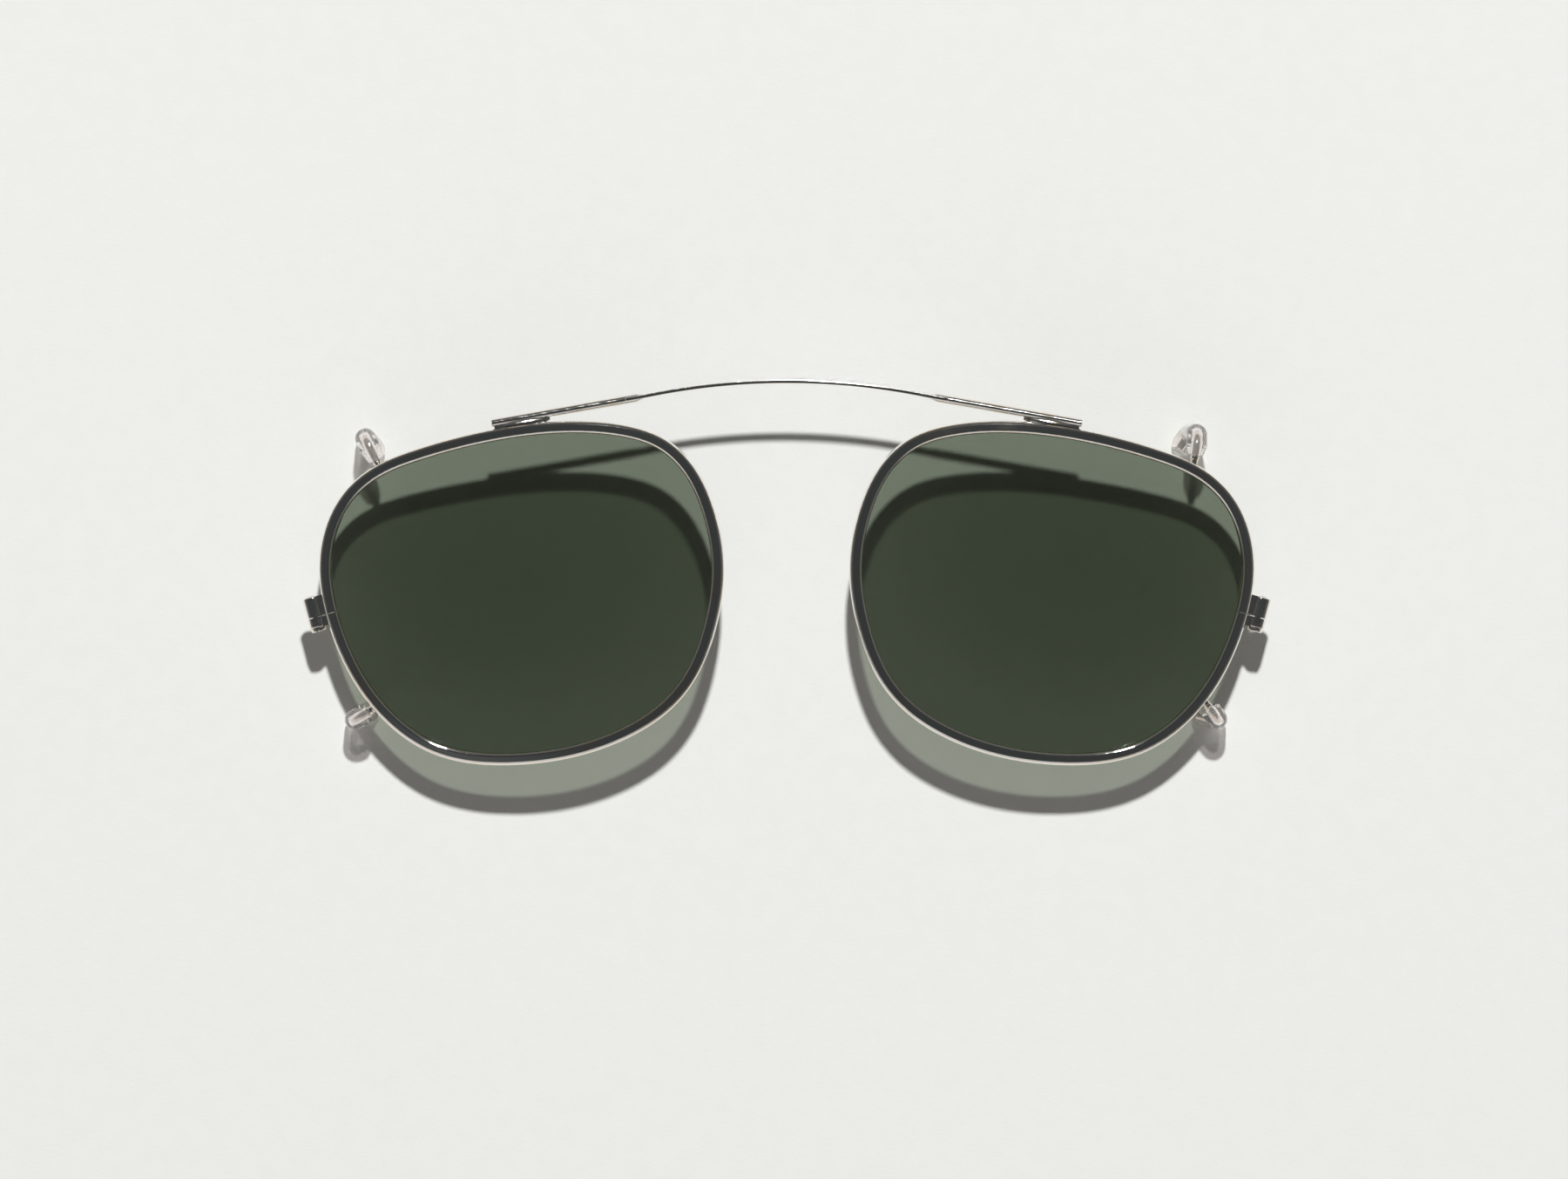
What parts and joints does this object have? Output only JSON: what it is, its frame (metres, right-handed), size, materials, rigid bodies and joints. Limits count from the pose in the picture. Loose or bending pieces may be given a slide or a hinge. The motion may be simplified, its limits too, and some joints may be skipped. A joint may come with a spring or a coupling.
{
  "type": "clip-on tinted lenses",
  "caption": "Rimmed tinted lenses joined by a thin arched spring bridge, with soft-tipped hook prongs that clip over the front of a pair of spectacles.",
  "frame": {"origin": "middle of the clip in plan, on the surface it lies on with its lens fronts up, which its four soft tips touch", "axes": "+X to the right seen from the front, along the length; +Y towards the brow and the bridge; +Z out of the front of the lenses"},
  "size_m": [0.1278, 0.0508, 0.014],
  "materials": {
    "rim_metal": "polished pale gold plate",
    "block_metal": "polished pale gold plate",
    "screw_metal": "polished",
    "bridge_metal": "polished pale gold plate",
    "spring_metal": "polished, spring temper",
    "prong_metal": "polished pale gold plate",
    "solder": "satin, plated over",
    "tinted_lens": "polished dark grey-green tint",
    "clear_tip": "clear soft silicone, glossy"
  },
  "bodies": {
    "left_half": {"bridge_spring": "spring_metal", "left_rim": "rim_metal", "left_lens": "tinted_lens", "left_closing_block_upper": "block_metal", "left_closing_block_lower": "block_metal", "left_closing_screw": "screw_metal", "left_bridge_arm": "bridge_metal", "left_arm_solder": "solder", "left_upper_prong": "prong_metal", "left_upper_tip": "clear_tip", "left_lower_prong": "prong_metal", "left_lower_tip": "clear_tip"},
    "right_half": {"right_rim": "rim_metal", "right_lens": "tinted_lens", "right_closing_block_upper": "block_metal", "right_closing_block_lower": "block_metal", "right_closing_screw": "screw_metal", "right_bridge_arm": "bridge_metal", "right_arm_solder": "solder", "right_upper_prong": "prong_metal", "right_upper_tip": "clear_tip", "right_lower_prong": "prong_metal", "right_lower_tip": "clear_tip"}
  },
  "joints": [
    {"name": "bridge_flex", "type": "hinge", "parent": "left_half", "child": "right_half", "pos_m": [0, 0.02518, 0.0124], "axis": [0, 0, 1], "range_deg": [-3, 8], "stiffness_Nm_per_rad": 0.035, "deforming": ["bridge_spring"]}
  ]
}
